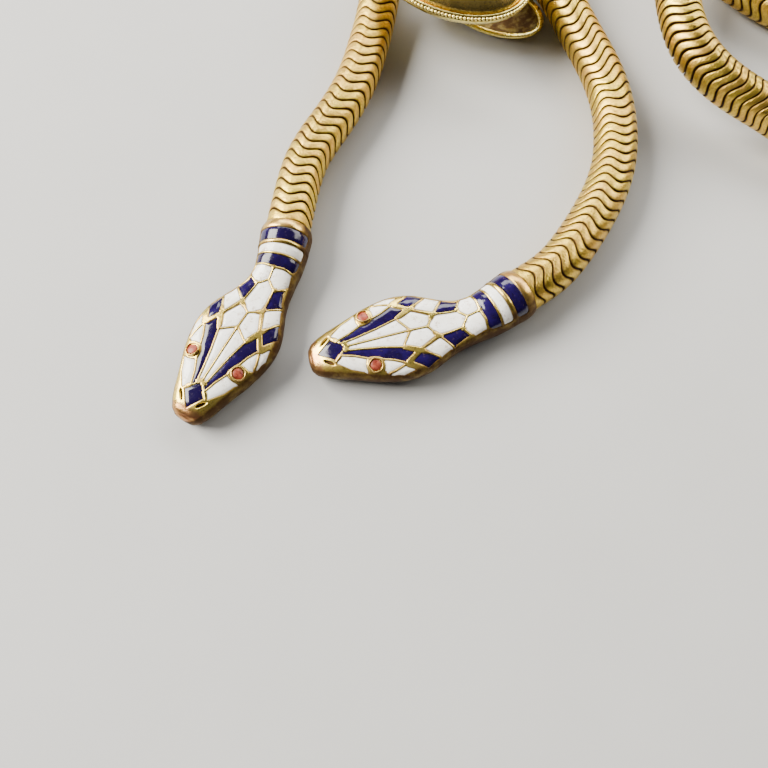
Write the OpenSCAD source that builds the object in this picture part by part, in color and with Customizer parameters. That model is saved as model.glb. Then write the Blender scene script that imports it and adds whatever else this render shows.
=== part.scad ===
// Snake necklace: a round snake chain that ends in two enamelled snake heads, both strands held by a slide.
// Millimetres. The origin is on the flat underside of the slide, +Y towards the neck loop, +Z up.

/* [Chain] */
// Radius of the round snake chain
chain_r = 3; // [2.6:0.1:3]
// Radius of the turned-down end that sits in a head's socket
spigot_r = 2.5; // [2:0.1:2.5]
// Length of that turned-down end
spigot_len = 1.4; // [0.8:0.1:1.4]
// Gap between the chain and what it enters
end_gap = 0.1; // [0.1:0.05:0.3]

/* [Heads] */
// Angle between the collar and the snout, seen from above
neck_bend = 21; // [10:1:26]
// Radius of the bend behind the head
bend_r = 19; // [17:1:24]
// Straight length of collar before the bend
collar_lead = 3; // [2:0.5:4]
// Depth of the pockets that hold the enamel
pocket_depth = 0.5; // [0.4:0.05:0.6]
// Clearance round each piece of enamel
enamel_gap = 0.1; // [0.1:0.01:0.12]
// Distance of each eye from the middle of the head
eye_side = 3.3; // [3.2:0.1:3.4]
// Place of the eyes along the head
eye_at = 20.7; // [20.6:0.05:20.8]
// Radius of an eye stone
eye_r = 0.72; // [0.6:0.02:0.72]

/* [Slide] */
// Half length of the bezel
bezel_a = 12; // [11:0.5:12.5]
// Half width of the bezel
bezel_b = 8.4; // [7.8:0.2:8.6]
// How far the bezel's side draws in towards its underside
bezel_taper = 0.9; // [0.3:0.1:1]
// Width of the bezel's wall
bezel_wall = 1.1; // [0.9:0.1:1.3]
// Half length of the foot dish
dish_a = 8.5; // [8:0.25:8.75]
// Half width of the foot dish
dish_b = 5.1; // [4.7:0.1:5.2]
// How far the dish draws in towards its foot
dish_draw = 2; // [1.6:0.1:2.2]
// Turn of both ovals, seen from above
slide_turn = -30; // [-34:1:-26]
// Clear radius of the two guide tubes
guide_r = 3.3; // [3.25:0.05:3.4]
// Wall of the guide tubes
guide_wall = 0.6; // [0.5:0.05:0.6]
// Length of the guide tubes
guide_len = 5; // [4:0.5:5.5]
// Rise of the dome above the bezel's edge
dome_rise = 2.6; // [2:0.2:4]

/* [Hidden] */

// Centre line of the chain from the left head over the outer arch to the far side of the neck loop
left_route = [
  [-28.8, -39.9, 3.15], [-28.1, -35.2, 3.1], [-26.6, -28.5, 3], [-22.7, -21, 3],
  [-19.9, -14.5, 3], [-18.6, -9.5, 3], [-17.6, -5, 3.2], [-16.9, -1, 3.7], [-16.2, 3.5, 4],
  [-15.4, 8.5, 4], [-14.3, 15, 3.4], [-13.3, 22, 3], [-12, 31, 3], [-7.5, 39.5, 3],
  [0.5, 46, 3], [10.5, 48.5, 3], [20.5, 46.5, 3], [28.5, 40.5, 3.4], [33, 32, 4.8],
  [33.9, 25, 6.6], [32.5, 18.5, 8.5], [29.6, 12.3, 9.5], [26.9, 6, 9.5], [25.2, 0, 9.1],
  [24.9, -6.6, 8.6], [26.2, -13, 7.7], [30.6, -18.2, 6.2], [36.4, -21.6, 4.8],
  [42.1, -25.5, 3.6], [46.5, -30.3, 3.05], [49, -37, 3], [52, -46.5, 3],
  [57.5, -57, 3], [67, -65.5, 3], [78, -69, 3], [89.5, -69, 3], [100.5, -65, 3],
  [109.5, -57.5, 3], [115.5, -47, 3], [117.5, -35, 3]
];

// Centre line of the chain from the right head over the inner arch to the same place
right_route = [
  [1.2, -48.8, 3.15], [5, -46.1, 3.1], [9, -41.4, 3], [12.4, -35.9, 3], [14.9, -30, 3],
  [15.9, -24, 3], [15.7, -17.5, 3], [14.3, -11.6, 3], [12.3, -6.2, 3.2], [10.3, -1.2, 3.7],
  [8.4, 3, 4], [6.4, 7.5, 4], [3.7, 13.5, 3.4], [1.2, 19.8, 3], [0.2, 26.5, 3],
  [1.9, 33.1, 3], [6.7, 38, 3], [13.3, 39.8, 3], [19.9, 38, 3], [24.7, 33.1, 3],
  [26.5, 26.3, 3], [27, 18.5, 3], [29.6, 12, 3], [34.2, 6.4, 3], [39.8, 0.6, 3],
  [46.8, -4, 3], [55.5, -5.8, 3], [63, -5.1, 3], [70.5, -3, 3],
  [79, -1.2, 3], [89.5, -1.2, 3], [100.5, -5, 3], [109.5, -12.5, 3], [115.5, -23, 3],
  [117.5, -35, 3]
];
sides = 12;

// The two heads: where the collar's rim is, and which way the collar points
left_rim = left_route[0];
left_heading = -98.2;
right_rim = right_route[0];
right_heading = -144.8;
collar_z = left_rim[2];

// Sections of a head. Columns: place along the head, half width, crest, waist, belly, squareness
head_rows = [
  [0, 3.2, 6.35, 3.15, 0, 2], [0.6, 3.35, 6.5, 3.15, 0, 2], [3, 3.3, 6.35, 3.15, 0, 2],
  [5.2, 3.1, 5.85, 3.05, 0, 2.2], [7.2, 2.95, 5.2, 2.95, 0, 2.6], [9, 3.15, 4.75, 2.9, 0, 2.9],
  [10.7, 3.7, 4.6, 2.85, 0, 3], [12.2, 4.4, 4.65, 2.8, 0, 3.1], [13.8, 5.1, 4.75, 2.8, 0, 3.1],
  [15.5, 5.5, 4.8, 2.8, 0, 3.1], [17.2, 5.55, 4.75, 2.8, 0, 3.1], [18.9, 5.3, 4.7, 2.75, 0, 3.1],
  [20.7, 4.85, 4.6, 2.7, 0, 3], [22.5, 4.2, 4.5, 2.6, 0, 2.9], [24.4, 3.5, 4.4, 2.5, 0.05, 2.8],
  [26, 2.95, 4.15, 2.4, 0.1, 2.6], [27.2, 2.4, 3.75, 2.3, 0.25, 2.4], [28.1, 1.65, 3.2, 2.2, 0.5, 2.2],
  [28.5, 0.8, 2.6, 2, 1, 2]
];
ring_points = 24;
belly_square = 2.2;

// Enamel cells as corners [place along the head, distance from its middle line]
centre_white = [[8.45, 0], [9.18, 0.88], [12.05, 1.17], [12.98, 0], [12.05, -1.17], [9.18, -0.88]];
nose_blue = [[24, 0], [25.4, 1.25], [27.1, 0], [25.4, -1.25]];
side_whites = [
  [[6.9, 0.13], [6.65, 1.4], [6.85, 2.4], [8.05, 2.6], [8.7, 1.7], [8.75, 0.95], [8.05, 0.13]],
  [[12.3, 1.95], [11.05, 3.35], [12.45, 4.05], [14.2, 2.85]],
  [[13.5, 0.14], [12.85, 1.4], [14.85, 2.4], [16.4, 1.7], [15.25, 0.14]],
  [[15.95, 0.14], [16.95, 1.6], [19.2, 1.17], [21.5, 0.75], [23.2, 0.36], [23.2, 0.13]],
  [[16.2, 5], [17.2, 4.5], [19, 4.85], [17.6, 5.25]],
  [[17.5, 4], [18.5, 3.4], [19.55, 3.1], [19.55, 4.5], [18.6, 4.45]],
  [[21.8, 3.85], [21.7, 2.45], [23, 1.72], [24.4, 1.37], [25.1, 1.9], [23.6, 3.05]]
];
side_blues = [
  [[9.5, 1.55], [8.9, 2.4], [10.6, 3.15], [11.6, 1.8]],
  [[14.95, 3.3], [13.05, 4.25], [14.45, 5.05], [16.05, 4.05]],
  [[15.85, 2.95], [17.05, 3.7], [18.1, 3.25], [24.1, 0.85], [22, 1], [19.6, 1.45], [17.2, 2.2]]
];

// Enamel bands of the collar: start and end along the head
white_band = [3.6, 4.65];
blue_bands = [[1.4, 2.85], [5, 6.2]];
band_side = 4;
band_low = 4.4;
cell_low = 3;
cell_high = 7;

// Eyes
eye_tilt = 16;
collet_wall = 0.2;
collet_up = 0.3;
eye_gap = 0.06;
stone_deep = 0.5;

// Slide: middles of its parts and its levels
bezel_mid = [-6.5, -1];
guides = [[-15.8, 6, 80.9], [7.4, 5.25, 113.9]];
guide_z = 4;
dish_floor = 0.6;
dish_top = 1.9;
dish_lip = 0.4;
dish_wall = 0.8;
dish_curve = 0.2;
post_mid = [-2.9, 1];
post_r = 2.4;
plate_z = 7.5;
plate_t = 0.8;
bezel_top = 9.5;
bezel_edge = 0.6;
dome_gap = 0.1;
dome_steps = 6;
oval_points = 40;
arm_w = 5;

// Points along a head's curved middle line
bend_len = bend_r * neck_bend * PI / 180;
function turned(s) = min(max((s - collar_lead) / bend_r * 180 / PI, 0), neck_bend);
function past(s) = max(s - collar_lead - bend_len, 0);
function middle(s) = [
  min(s, collar_lead) + bend_r * sin(turned(s)) + past(s) * cos(neck_bend),
  -bend_r * (1 - cos(turned(s))) - past(s) * sin(neck_bend)
];
function on_head(s, w) = middle(s) + w * [sin(turned(s)), cos(turned(s))];
function column(n) = [for (row = head_rows) [row[0], row[n]]];
function at(s, n) = lookup(s, column(n));

// Height of a head's upper face
function head_top(s, w) =
  at(s, 3) + (at(s, 2) - at(s, 3)) * pow(1 - pow(min(abs(w) / at(s, 1), 1), at(s, 5)), 1 / at(s, 5));

// One section, drawn in by inset
function rounded(v, e) = sign(v) * pow(abs(v), 2 / e);
function section(row, inset) = [
  for (k = [0 : ring_points - 1])
    let (
      a = 360 * k / ring_points,
      e = sin(a) > 0 ? row[5] : min(row[5], belly_square),
      w = (row[1] - inset) * rounded(cos(a), e),
      reach = sin(a) > 0 ? row[2] - inset - row[3] : row[3] - row[4] - inset,
      z = row[3] + reach * rounded(sin(a), e),
      p = on_head(row[0], w)
    )
    [p[0], p[1], z]
];

// Closed solid through rings of n points each, in order along its length
module skin(rings, n) {
  count = len(rings);
  polyhedron(
    points = [for (ring = rings) for (p = ring) p],
    faces = concat(
      [[for (k = [0 : n - 1]) k]],
      [for (i = [0 : count - 2]) for (k = [0 : n - 1])
        [i * n + k, (i + 1) * n + k, i * n + (k + 1) % n]],
      [for (i = [0 : count - 2]) for (k = [0 : n - 1])
        [i * n + (k + 1) % n, (i + 1) * n + k, (i + 1) * n + (k + 1) % n]],
      [[for (k = [n - 1 : -1 : 0]) (count - 1) * n + k]]
    ),
    convexity = 8
  );
}

module head_form(inset) {
  skin([for (row = head_rows) section(row, inset)], ring_points);
}

// Upright prism over one cell, drawn in by gap
module cell(corners, side, gap) {
  hull()
    translate([0, 0, cell_low + gap])
      linear_extrude(height = cell_high - cell_low)
        offset(delta = -gap)
          polygon([for (c = corners) on_head(c[0], side * c[1])]);
}

module band(ends, gap) {
  hull()
    translate([0, 0, band_low + gap])
      linear_extrude(height = cell_high - cell_low)
        offset(delta = -gap)
          polygon([on_head(ends[0], -band_side), on_head(ends[1], -band_side),
                   on_head(ends[1], band_side), on_head(ends[0], band_side)]);
}

module white_cells(gap) {
  cell(centre_white, 1, gap);
  for (side = [-1, 1])
    for (corners = side_whites)
      cell(corners, side, gap);
  band(white_band, gap);
}

module blue_cells(gap) {
  cell(nose_blue, 1, gap);
  for (side = [-1, 1])
    for (corners = side_blues)
      cell(corners, side, gap);
  for (ends = blue_bands)
    band(ends, gap);
}

// Thin layer under a head's upper face, where enamel lies
module enamel_layer() {
  difference() {
    head_form(0.02);
    head_form(pocket_depth - enamel_gap);
  }
}

// Frame of an eye, its axis square to the side of the head
module at_eye(side) {
  p = on_head(eye_at, side * eye_side);
  translate([p[0], p[1], head_top(eye_at, eye_side)])
    rotate([0, 0, -turned(eye_at)])
      rotate([-side * eye_tilt, 0, 0])
        children();
}

module eye_stone(side) {
  at_eye(side)
    translate([0, 0, -stone_deep])
      rotate_extrude($fn = 16)
        polygon([[0, 0], [eye_r, 0], [eye_r, stone_deep + 0.1],
                 [eye_r * 0.7, stone_deep + 0.34], [0, stone_deep + 0.44]]);
}

module head_casting() {
  difference() {
    union() {
      difference() {
        head_form(0);
        difference() {
          union() {
            white_cells(0);
            blue_cells(0);
          }
          head_form(pocket_depth);
        }
      }
      for (side = [-1, 1])
        at_eye(side)
          translate([0, 0, -1])
            cylinder(r = eye_r + eye_gap + collet_wall, h = 1 + collet_up, $fn = 16);
    }
    for (side = [-1, 1])
      at_eye(side)
        translate([0, 0, -stone_deep - eye_gap])
          cylinder(r = eye_r + eye_gap, h = 3, $fn = 16);
    translate([-1, 0, collar_z])
      rotate([0, 90, 0])
        cylinder(r = spigot_r + end_gap, h = 1 + spigot_len + end_gap, $fn = 24);
  }
}

module white_enamel() {
  intersection() {
    white_cells(enamel_gap);
    enamel_layer();
  }
}

module blue_enamel() {
  intersection() {
    blue_cells(enamel_gap);
    enamel_layer();
  }
}

module place_left() {
  translate([left_rim[0], left_rim[1], 0])
    rotate([0, 0, left_heading])
      children();
}

module place_right() {
  translate([right_rim[0], right_rim[1], 0])
    rotate([0, 0, right_heading])
      children();
}

// Tube along a route: a ring square to the way at each point, the bottom corner straight down
function unit(v) = v / norm(v);
function way(route, i) = unit(route[min(i + 1, len(route) - 1)] - route[max(i - 1, 0)]);
function ring(mid, dir, r) =
  let (
    across = unit(cross(dir, [0, 0, 1])),
    upward = cross(across, dir)
  )
  [for (k = [0 : sides - 1])
    let (a = 360 * k / sides)
    mid + r * cos(a) * across + r * sin(a) * upward];

// The far end is square to the line that both runs share there
module run(route, heading, far_way) {
  into = [cos(heading), sin(heading), 0];
  last = len(route) - 1;
  start = route[0] - end_gap * into;
  skin(
    concat(
      [ring(route[0] + spigot_len * into, -into, spigot_r), ring(start, -into, spigot_r),
       ring(start, -into, chain_r)],
      [for (i = [1 : last - 1]) ring(route[i], way(route, i), chain_r)],
      [ring(route[last] - end_gap / 2 * far_way, far_way, chain_r)]
    ),
    sides
  );
}

module chain_left_run() {
  color("darkkhaki")
    run(left_route, left_heading, [0, 1, 0]);
}

module chain_right_run() {
  color("darkkhaki")
    run(right_route, right_heading, [0, -1, 0]);
}

module left_head() {
  color("goldenrod")
    place_left()
      head_casting();
}

module left_head_white_enamel() {
  color("white")
    place_left()
      white_enamel();
}

module left_head_blue_enamel() {
  color("midnightblue")
    place_left()
      blue_enamel();
}

module left_head_left_eye() {
  color("indianred")
    place_left()
      eye_stone(1);
}

module left_head_right_eye() {
  color("indianred")
    place_left()
      eye_stone(-1);
}

module right_head() {
  color("goldenrod")
    place_right()
      head_casting();
}

module right_head_white_enamel() {
  color("white")
    place_right()
      white_enamel();
}

module right_head_blue_enamel() {
  color("midnightblue")
    place_right()
      blue_enamel();
}

module right_head_left_eye() {
  color("indianred")
    place_right()
      eye_stone(1);
}

module right_head_right_eye() {
  color("indianred")
    place_right()
      eye_stone(-1);
}

// Outline of an oval with half axes a and b
function oval(a, b) = [
  for (k = [0 : oval_points - 1])
    let (t = 360 * k / oval_points)
    [a * cos(t), b * sin(t)]
];

module oval_block(mid, a, b, low, high) {
  translate([mid[0], mid[1], low])
    rotate([0, 0, slide_turn])
      linear_extrude(height = high - low)
        polygon(oval(a, b));
}

// Solid oval whose levels, from the bottom up, are [height, half length, half width]
module oval_stack(mid, levels) {
  translate([mid[0], mid[1], 0])
    rotate([0, 0, slide_turn])
      skin([for (l = levels) [for (p = oval(l[1], l[2])) [p[0], p[1], l[0]]]], oval_points);
}

module guide_bar(guide, r, length) {
  translate([guide[0], guide[1], guide_z])
    rotate([0, 0, guide[2]])
      rotate([0, 90, 0])
        cylinder(r = r, h = length, center = true, $fn = 48);
}

module slide_frame() {
  color("goldenrod")
    difference() {
      union() {
        oval_stack([0, 0], [
          [0, dish_a - dish_draw, dish_b - dish_draw],
          [dish_top - dish_lip, dish_a, dish_b],
          [dish_top, dish_a, dish_b]
        ]);
        translate([post_mid[0], post_mid[1], 0.3])
          cylinder(r = post_r, h = plate_z, $fn = 32);
        oval_stack(bezel_mid, [
          [plate_z, bezel_a - bezel_taper, bezel_b - bezel_taper],
          [bezel_top - bezel_edge, bezel_a, bezel_b],
          [bezel_top, bezel_a, bezel_b]
        ]);
        for (guide = guides)
          guide_bar(guide, guide_r + guide_wall, guide_len);
        reach = [guides[1][0], guides[1][1]] - post_mid;
        translate([post_mid[0], post_mid[1], plate_z])
          rotate([0, 0, atan2(reach[1], reach[0])])
            translate([0, -arm_w / 2, 0])
              cube([norm(reach), arm_w, plate_t]);
      }
      difference() {
        oval_stack([0, 0], [
          [dish_floor, dish_a - dish_draw - dish_curve, dish_b - dish_draw - dish_curve],
          [dish_top - dish_lip, dish_a - dish_wall - dish_curve / 2, dish_b - dish_wall - dish_curve / 2],
          [dish_top + 0.1, dish_a - dish_wall, dish_b - dish_wall]
        ]);
        translate([post_mid[0], post_mid[1], 0])
          cylinder(r = post_r, h = plate_z, $fn = 32);
        for (guide = guides)
          guide_bar(guide, guide_r + guide_wall, guide_len);
      }
      oval_block(bezel_mid, bezel_a - bezel_wall, bezel_b - bezel_wall, plate_z + plate_t, bezel_top + 1);
      for (guide = guides)
        guide_bar(guide, guide_r, guide_len + 6);
    }
}

// Low dome on a straight edge, in levels that shrink towards the top
module slide_dome() {
  a = bezel_a - bezel_wall - dome_gap;
  b = bezel_b - bezel_wall - dome_gap;
  edge = bezel_top - 0.3;
  color("darkgoldenrod")
    oval_stack(bezel_mid, concat(
      [[plate_z + plate_t + dome_gap, a, b]],
      [for (i = [0 : dome_steps])
        let (t = 84 * i / dome_steps)
        [edge + dome_rise * sin(t), a * cos(t), b * cos(t)]]
    ));
}

chain_left_run();
chain_right_run();
left_head();
left_head_white_enamel();
left_head_blue_enamel();
left_head_left_eye();
left_head_right_eye();
right_head();
right_head_white_enamel();
right_head_blue_enamel();
right_head_left_eye();
right_head_right_eye();
slide_frame();
slide_dome();
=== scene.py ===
import bpy
import numpy as np
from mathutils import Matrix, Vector


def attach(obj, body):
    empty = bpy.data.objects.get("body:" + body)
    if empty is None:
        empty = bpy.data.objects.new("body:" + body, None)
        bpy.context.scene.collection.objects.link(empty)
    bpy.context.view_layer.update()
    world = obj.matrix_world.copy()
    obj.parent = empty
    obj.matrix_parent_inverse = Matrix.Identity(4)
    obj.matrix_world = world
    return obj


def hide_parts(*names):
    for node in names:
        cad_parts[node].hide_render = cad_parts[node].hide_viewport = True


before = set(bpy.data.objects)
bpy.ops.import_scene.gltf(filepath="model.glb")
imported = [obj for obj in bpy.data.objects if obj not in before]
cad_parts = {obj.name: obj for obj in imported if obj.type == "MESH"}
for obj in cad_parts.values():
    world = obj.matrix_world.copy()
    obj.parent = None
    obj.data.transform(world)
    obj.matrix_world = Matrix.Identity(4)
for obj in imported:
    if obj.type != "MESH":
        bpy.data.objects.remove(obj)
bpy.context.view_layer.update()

# All shapes below are in millimetres, in the part's frame; make_piece() turns them into metres.
MM = 0.001
rng = np.random.default_rng(11)

# The chain, along the part's own routes
CHAIN_R = 2.96
CHAIN_COLUMNS = 44
# Length of a link, by its distance from the head
LEFT_PITCH = [(0, 1.4), (15, 1.6), (120, 1.6), (158, 1.18), (220, 1.18), (240, 1.6)]
RIGHT_PITCH = [(0, 1.45), (15, 1.48)]
# Width of a seam on a straight, how fast a bend opens it, and its limits
SEAM = 0.17
SEAM_OPENS = 3.5
SEAM_LIMITS = (0.1, 0.32)
# How far a seam swings along the chain, the waves round it, and the pitch below which it swings less
WAVE = 0.59
WAVES = 4
FULL_PITCH = 1.5
# Lengths over which the waves rise at the head and fade where the two runs meet
HEAD_FADE = 3
MEET_FADE = 8
# Steps of the line between two points of a route, and on each side over which its bend is averaged
LINE_STEPS = 24
BEND_SMOOTHS = 8
# Where a crest lies round the chain, in degrees, by the distance from the head
LEFT_TWIST = [(0, -50), (8, -49), (12, -42.5), (20, -40), (28, -37), (185, 19), (220, 24)]
RIGHT_TWIST = [
    (0, -3), (6, -6), (10, -8), (14.5, -11), (18.5, -17), (23, -26), (27, -32), (31, -37),
    (35, -43), (39.5, -72),
]
# How far a link leans along the chain at its side and at its top, by the distance from the head
LEFT_LEAN = [
    (0, 0, 0), (4, -0.3, 0.1), (8, -0.5, 0.2), (12, -0.2, 0), (16, 0.2, -0.4), (20, 0.34, -0.5),
    (28, 0.45, -0.2), (60, 0, 0), (150, 0, 0), (175, -0.5, 0), (205, -0.5, 0), (230, 0, 0),
]
RIGHT_LEAN = [
    (0, -0.2, -0.4), (6, -0.3, -0.45), (10, 0, -0.35), (14, 0.65, -0.3), (23, 0.9, -0.45),
    (31, 0.6, -0.45), (35, 0.9, -0.3), (40, 1.1, -0.2), (60, 0, 0),
]
# One link from its back lip to its front lip: place across the band, depth, how much grime and painted shade
# it holds
LINK_PROFILE = [
    (-1.0, 0.5, 1.0), (-1.0, 0.12, 1.0), (-0.9, 0.05, 0.6), (-0.65, 0.015, 0.2), (-0.3, 0.0, 0.0),
    (0.3, 0.0, 0.0), (0.65, 0.015, 0.2), (0.9, 0.05, 0.6), (1.0, 0.12, 1.0), (1.0, 0.5, 1.0),
]
LEFT_ROUTE = [
    (-28.8, -39.9, 3.15), (-28.1, -35.2, 3.1), (-26.6, -28.5, 3), (-22.7, -21, 3),
    (-19.9, -14.5, 3), (-18.6, -9.5, 3), (-17.6, -5, 3.2), (-16.9, -1, 3.7), (-16.2, 3.5, 4),
    (-15.4, 8.5, 4), (-14.3, 15, 3.4), (-13.3, 22, 3), (-12, 31, 3), (-7.5, 39.5, 3),
    (0.5, 46, 3), (10.5, 48.5, 3), (20.5, 46.5, 3), (28.5, 40.5, 3.4), (33, 32, 4.8),
    (33.9, 25, 6.6), (32.5, 18.5, 8.5), (29.6, 12.3, 9.5), (26.9, 6, 9.5), (25.2, 0, 9.1),
    (24.9, -6.6, 8.6), (26.2, -13, 7.7), (30.6, -18.2, 6.2), (36.4, -21.6, 4.8),
    (42.1, -25.5, 3.6), (46.5, -30.3, 3.05), (49, -37, 3), (52, -46.5, 3),
    (57.5, -57, 3), (67, -65.5, 3), (78, -69, 3), (89.5, -69, 3), (100.5, -65, 3),
    (109.5, -57.5, 3), (115.5, -47, 3), (117.5, -35, 3),
]
RIGHT_ROUTE = [
    (1.2, -48.8, 3.15), (5, -46.1, 3.1), (9, -41.4, 3), (12.4, -35.9, 3), (14.9, -30, 3),
    (15.9, -24, 3), (15.7, -17.5, 3), (14.3, -11.6, 3), (12.3, -6.2, 3.2), (10.3, -1.2, 3.7),
    (8.4, 3, 4), (6.4, 7.5, 4), (3.7, 13.5, 3.4), (1.2, 19.8, 3), (0.2, 26.5, 3),
    (1.9, 33.1, 3), (6.7, 38, 3), (13.3, 39.8, 3), (19.9, 38, 3), (24.7, 33.1, 3),
    (26.5, 26.3, 3), (27, 18.5, 3), (29.6, 12, 3), (34.2, 6.4, 3), (39.8, 0.6, 3),
    (46.8, -4, 3), (55.5, -5.8, 3), (63, -5.1, 3), (70.5, -3, 3),
    (79, -1.2, 3), (89.5, -1.2, 3), (100.5, -5, 3), (109.5, -12.5, 3), (115.5, -23, 3),
    (117.5, -35, 3),
]
LEFT_HEADING = -98.2
RIGHT_HEADING = -144.8

# The heads: place along the head, half width, crest, waist, belly, squareness
HEAD_ROWS = np.array([
    (0, 3.2, 6.35, 3.15, 0, 2), (0.6, 3.35, 6.5, 3.15, 0, 2), (3, 3.3, 6.35, 3.15, 0, 2),
    (5.2, 3.1, 5.85, 3.05, 0, 2.2), (7.2, 2.95, 5.2, 2.95, 0, 2.6), (9, 3.15, 4.75, 2.9, 0, 2.9),
    (10.7, 3.7, 4.6, 2.85, 0, 3), (12.2, 4.4, 4.65, 2.8, 0, 3.1), (13.8, 5.1, 4.75, 2.8, 0, 3.1),
    (15.5, 5.5, 4.8, 2.8, 0, 3.1), (17.2, 5.55, 4.75, 2.8, 0, 3.1), (18.9, 5.3, 4.7, 2.75, 0, 3.1),
    (20.7, 4.85, 4.6, 2.7, 0, 3), (22.5, 4.2, 4.5, 2.6, 0, 2.9), (24.4, 3.5, 4.4, 2.5, 0.05, 2.8),
    (26, 2.95, 4.15, 2.4, 0.1, 2.6), (27.2, 2.4, 3.75, 2.3, 0.25, 2.4), (28.1, 1.65, 3.2, 2.2, 0.5, 2.2),
    (28.4, 1.0, 2.75, 2.1, 1.0, 2), (28.5, 0.3, 2.3, 2.05, 1.75, 2),
])
BELLY_SQUARE = 2.2
NECK_BEND = np.radians(21)
BEND_R = 19.0
COLLAR_LEAD = 3.0
# The grid of a head
HEAD_STEP = 0.08
SNOUT_LENGTH = 1.2
SNOUT_ROWS = 24
TOP_COLUMNS = 170
UNDER_COLUMNS = 26
# Cells: how far they grow past their corners, how much further towards a neighbour, and the gold left
CELL_GROWS = 0.07
CELL_REACHES = 0.26
NEIGHBOUR_WITHIN, NEIGHBOUR_BLEND = 0.75, 0.5
GOLD_LINE = 0.26
# Depth of a cell's floor and lip under the plain form, and of the gold between cells
CELL_FLOOR, CELL_LIP, GOLD_LEVEL = 0.3, 0.07, 0.02
# Enamel: depth at a cell's edge, further dip past it, swell in its middle, thickness of the layer
ENAMEL_EDGE, ENAMEL_DIP, ENAMEL_SWELL, ENAMEL_DROP = 0.1, 0.08, 0.05, 0.12
# How far the enamel goes on past the edge of its cell
ENAMEL_PAST = 0.13
CENTRE_WHITE = [(8.45, 0), (9.18, 0.88), (12.05, 1.17), (12.98, 0), (12.05, -1.17), (9.18, -0.88)]
NOSE_BLUE = [(24, 0), (25.4, 1.25), (27.1, 0), (25.4, -1.25)]
SIDE_WHITES = [
    [(6.9, 0.13), (6.65, 1.4), (6.85, 2.4), (8.05, 2.6), (8.7, 1.7), (8.75, 0.95), (8.05, 0.13)],
    [(12.3, 1.95), (11.05, 3.35), (12.45, 4.05), (14.2, 2.85)],
    [(13.5, 0.14), (12.85, 1.4), (14.85, 2.4), (16.4, 1.7), (15.25, 0.14)],
    [(15.95, 0.14), (16.95, 1.6), (19.2, 1.17), (21.5, 0.75), (23.2, 0.36), (23.2, 0.13)],
    [(16.2, 5), (17.2, 4.5), (19, 4.85), (17.6, 5.25)],
    [(17.5, 4), (18.5, 3.4), (19.55, 3.1), (19.55, 4.5), (18.6, 4.45)],
    [(21.8, 3.85), (21.7, 2.45), (23, 1.72), (24.4, 1.37), (25.1, 1.9), (23.6, 3.05)],
]
SIDE_BLUES = [
    [(9.5, 1.55), (8.9, 2.4), (10.6, 3.15), (11.6, 1.8)],
    [(14.95, 3.3), (13.05, 4.25), (14.45, 5.05), (16.05, 4.05)],
    [(15.85, 2.95), (17.05, 3.7), (18.1, 3.25), (24.1, 0.85), (22, 1), (19.6, 1.45), (17.2, 2.2)],
]
WHITE_BAND = (3.6, 4.65)
BLUE_BANDS = [(1.4, 2.85), (5.0, 6.2)]
BAND_LOW = 4.4
BAND_ROUND = 0.35
EYE_AT, EYE_SIDE, EYE_TILT = 20.7, 3.3, np.radians(16)
EYE_SEGMENTS = 40
COLLET_R = 0.88
COLLET = [(0.75, -0.6), (0.75, 0.14), (0.79, 0.24), (0.86, 0.27), (0.92, 0.2), (0.95, 0.04), (0.96, -0.6)]
STONE = [(0.05, -0.5), (0.67, -0.5), (0.69, 0.02), (0.66, 0.11), (0.55, 0.18), (0.3, 0.23), (0.05, 0.25)]
NOSTRIL = ((25.45, 2.0), (26.75, 0.95))
NOSTRIL_LENGTH, NOSTRIL_WIDTH, NOSTRIL_DEPTH = 0.85, 0.24, 0.4
# Ridges round the collar, as place, half width and height, and the level from which they rise
COLLAR_RIDGES = [(0.66, 0.62, 0.07), (3.22, 0.3, 0.1)]
RIDGE_LOW, RIDGE_FADE = 2.2, 1.2
# Mouth line: its level at the snout, how much it rises behind it, where it starts, width and depth
MOUTH_Z, MOUTH_RISE, MOUTH_START, MOUTH_WIDTH, MOUTH_DEPTH = 1.75, 0.35, 18.5, 0.09, 0.1
# Lip ridge: how far over the mouth line it lies, its width, and how far the metal round it drops
LIP_ABOVE, LIP_WIDTH, LIP_DROP = 0.4, 0.22, 0.06
# Worn places: from here on at the snout, up to here at the rim of the collar
SNOUT_WEAR, RIM_WEAR = 26.75, 1.35
# Painted shade on the walls, deeper on the near side that faces away from the key light: the shares of their
# height at which it starts on either side, fade and strength
WALL_SHADE_HIGH, WALL_SHADE_LOW, WALL_SHADE_FADE, WALL_SHADE_STRENGTH = 0.9, 0.72, 0.32, 0.72

# The slide
SLIDE_TURN = np.radians(-30)
BEZEL_MID = (-6.5, -1.0)
BEZEL_A, BEZEL_B = 12.0, 8.4
DISH_A, DISH_B = 8.5, 5.1
OVAL_COLUMNS = 180
# Bezel and dish: inset from the oval's edge, height
BEZEL = [
    (8.2, 7.5), (2.0, 7.5), (1.1, 7.52), (0.93, 7.62), (0.7, 7.9), (0.45, 8.25), (0.3, 8.55),
    (0.27, 8.72), (0.34, 8.82), (0.5, 8.9), (0.54, 9.1), (0.56, 9.3), (0.6, 9.38), (0.68, 9.42),
    (0.8, 9.38), (0.92, 9.28), (1.04, 9.19), (1.1, 9.1), (1.1, 8.5), (8.2, 8.3),
]
DISH = [
    (4.9, 0.0), (2.05, 0.0), (1.85, 0.1), (1.1, 0.68), (0.4, 1.2), (0.1, 1.43), (0.0, 1.56),
    (0.02, 1.74), (0.08, 1.84), (0.2, 1.89), (0.42, 1.9), (0.64, 1.89), (0.76, 1.84),
    (0.82, 1.74), (0.9, 1.52), (1.2, 1.2), (1.8, 0.88), (2.6, 0.68), (4.9, 0.6),
]
# Painted shade on the ledge just under the beaded edge
LEDGE_SHADE = 0.9
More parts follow.
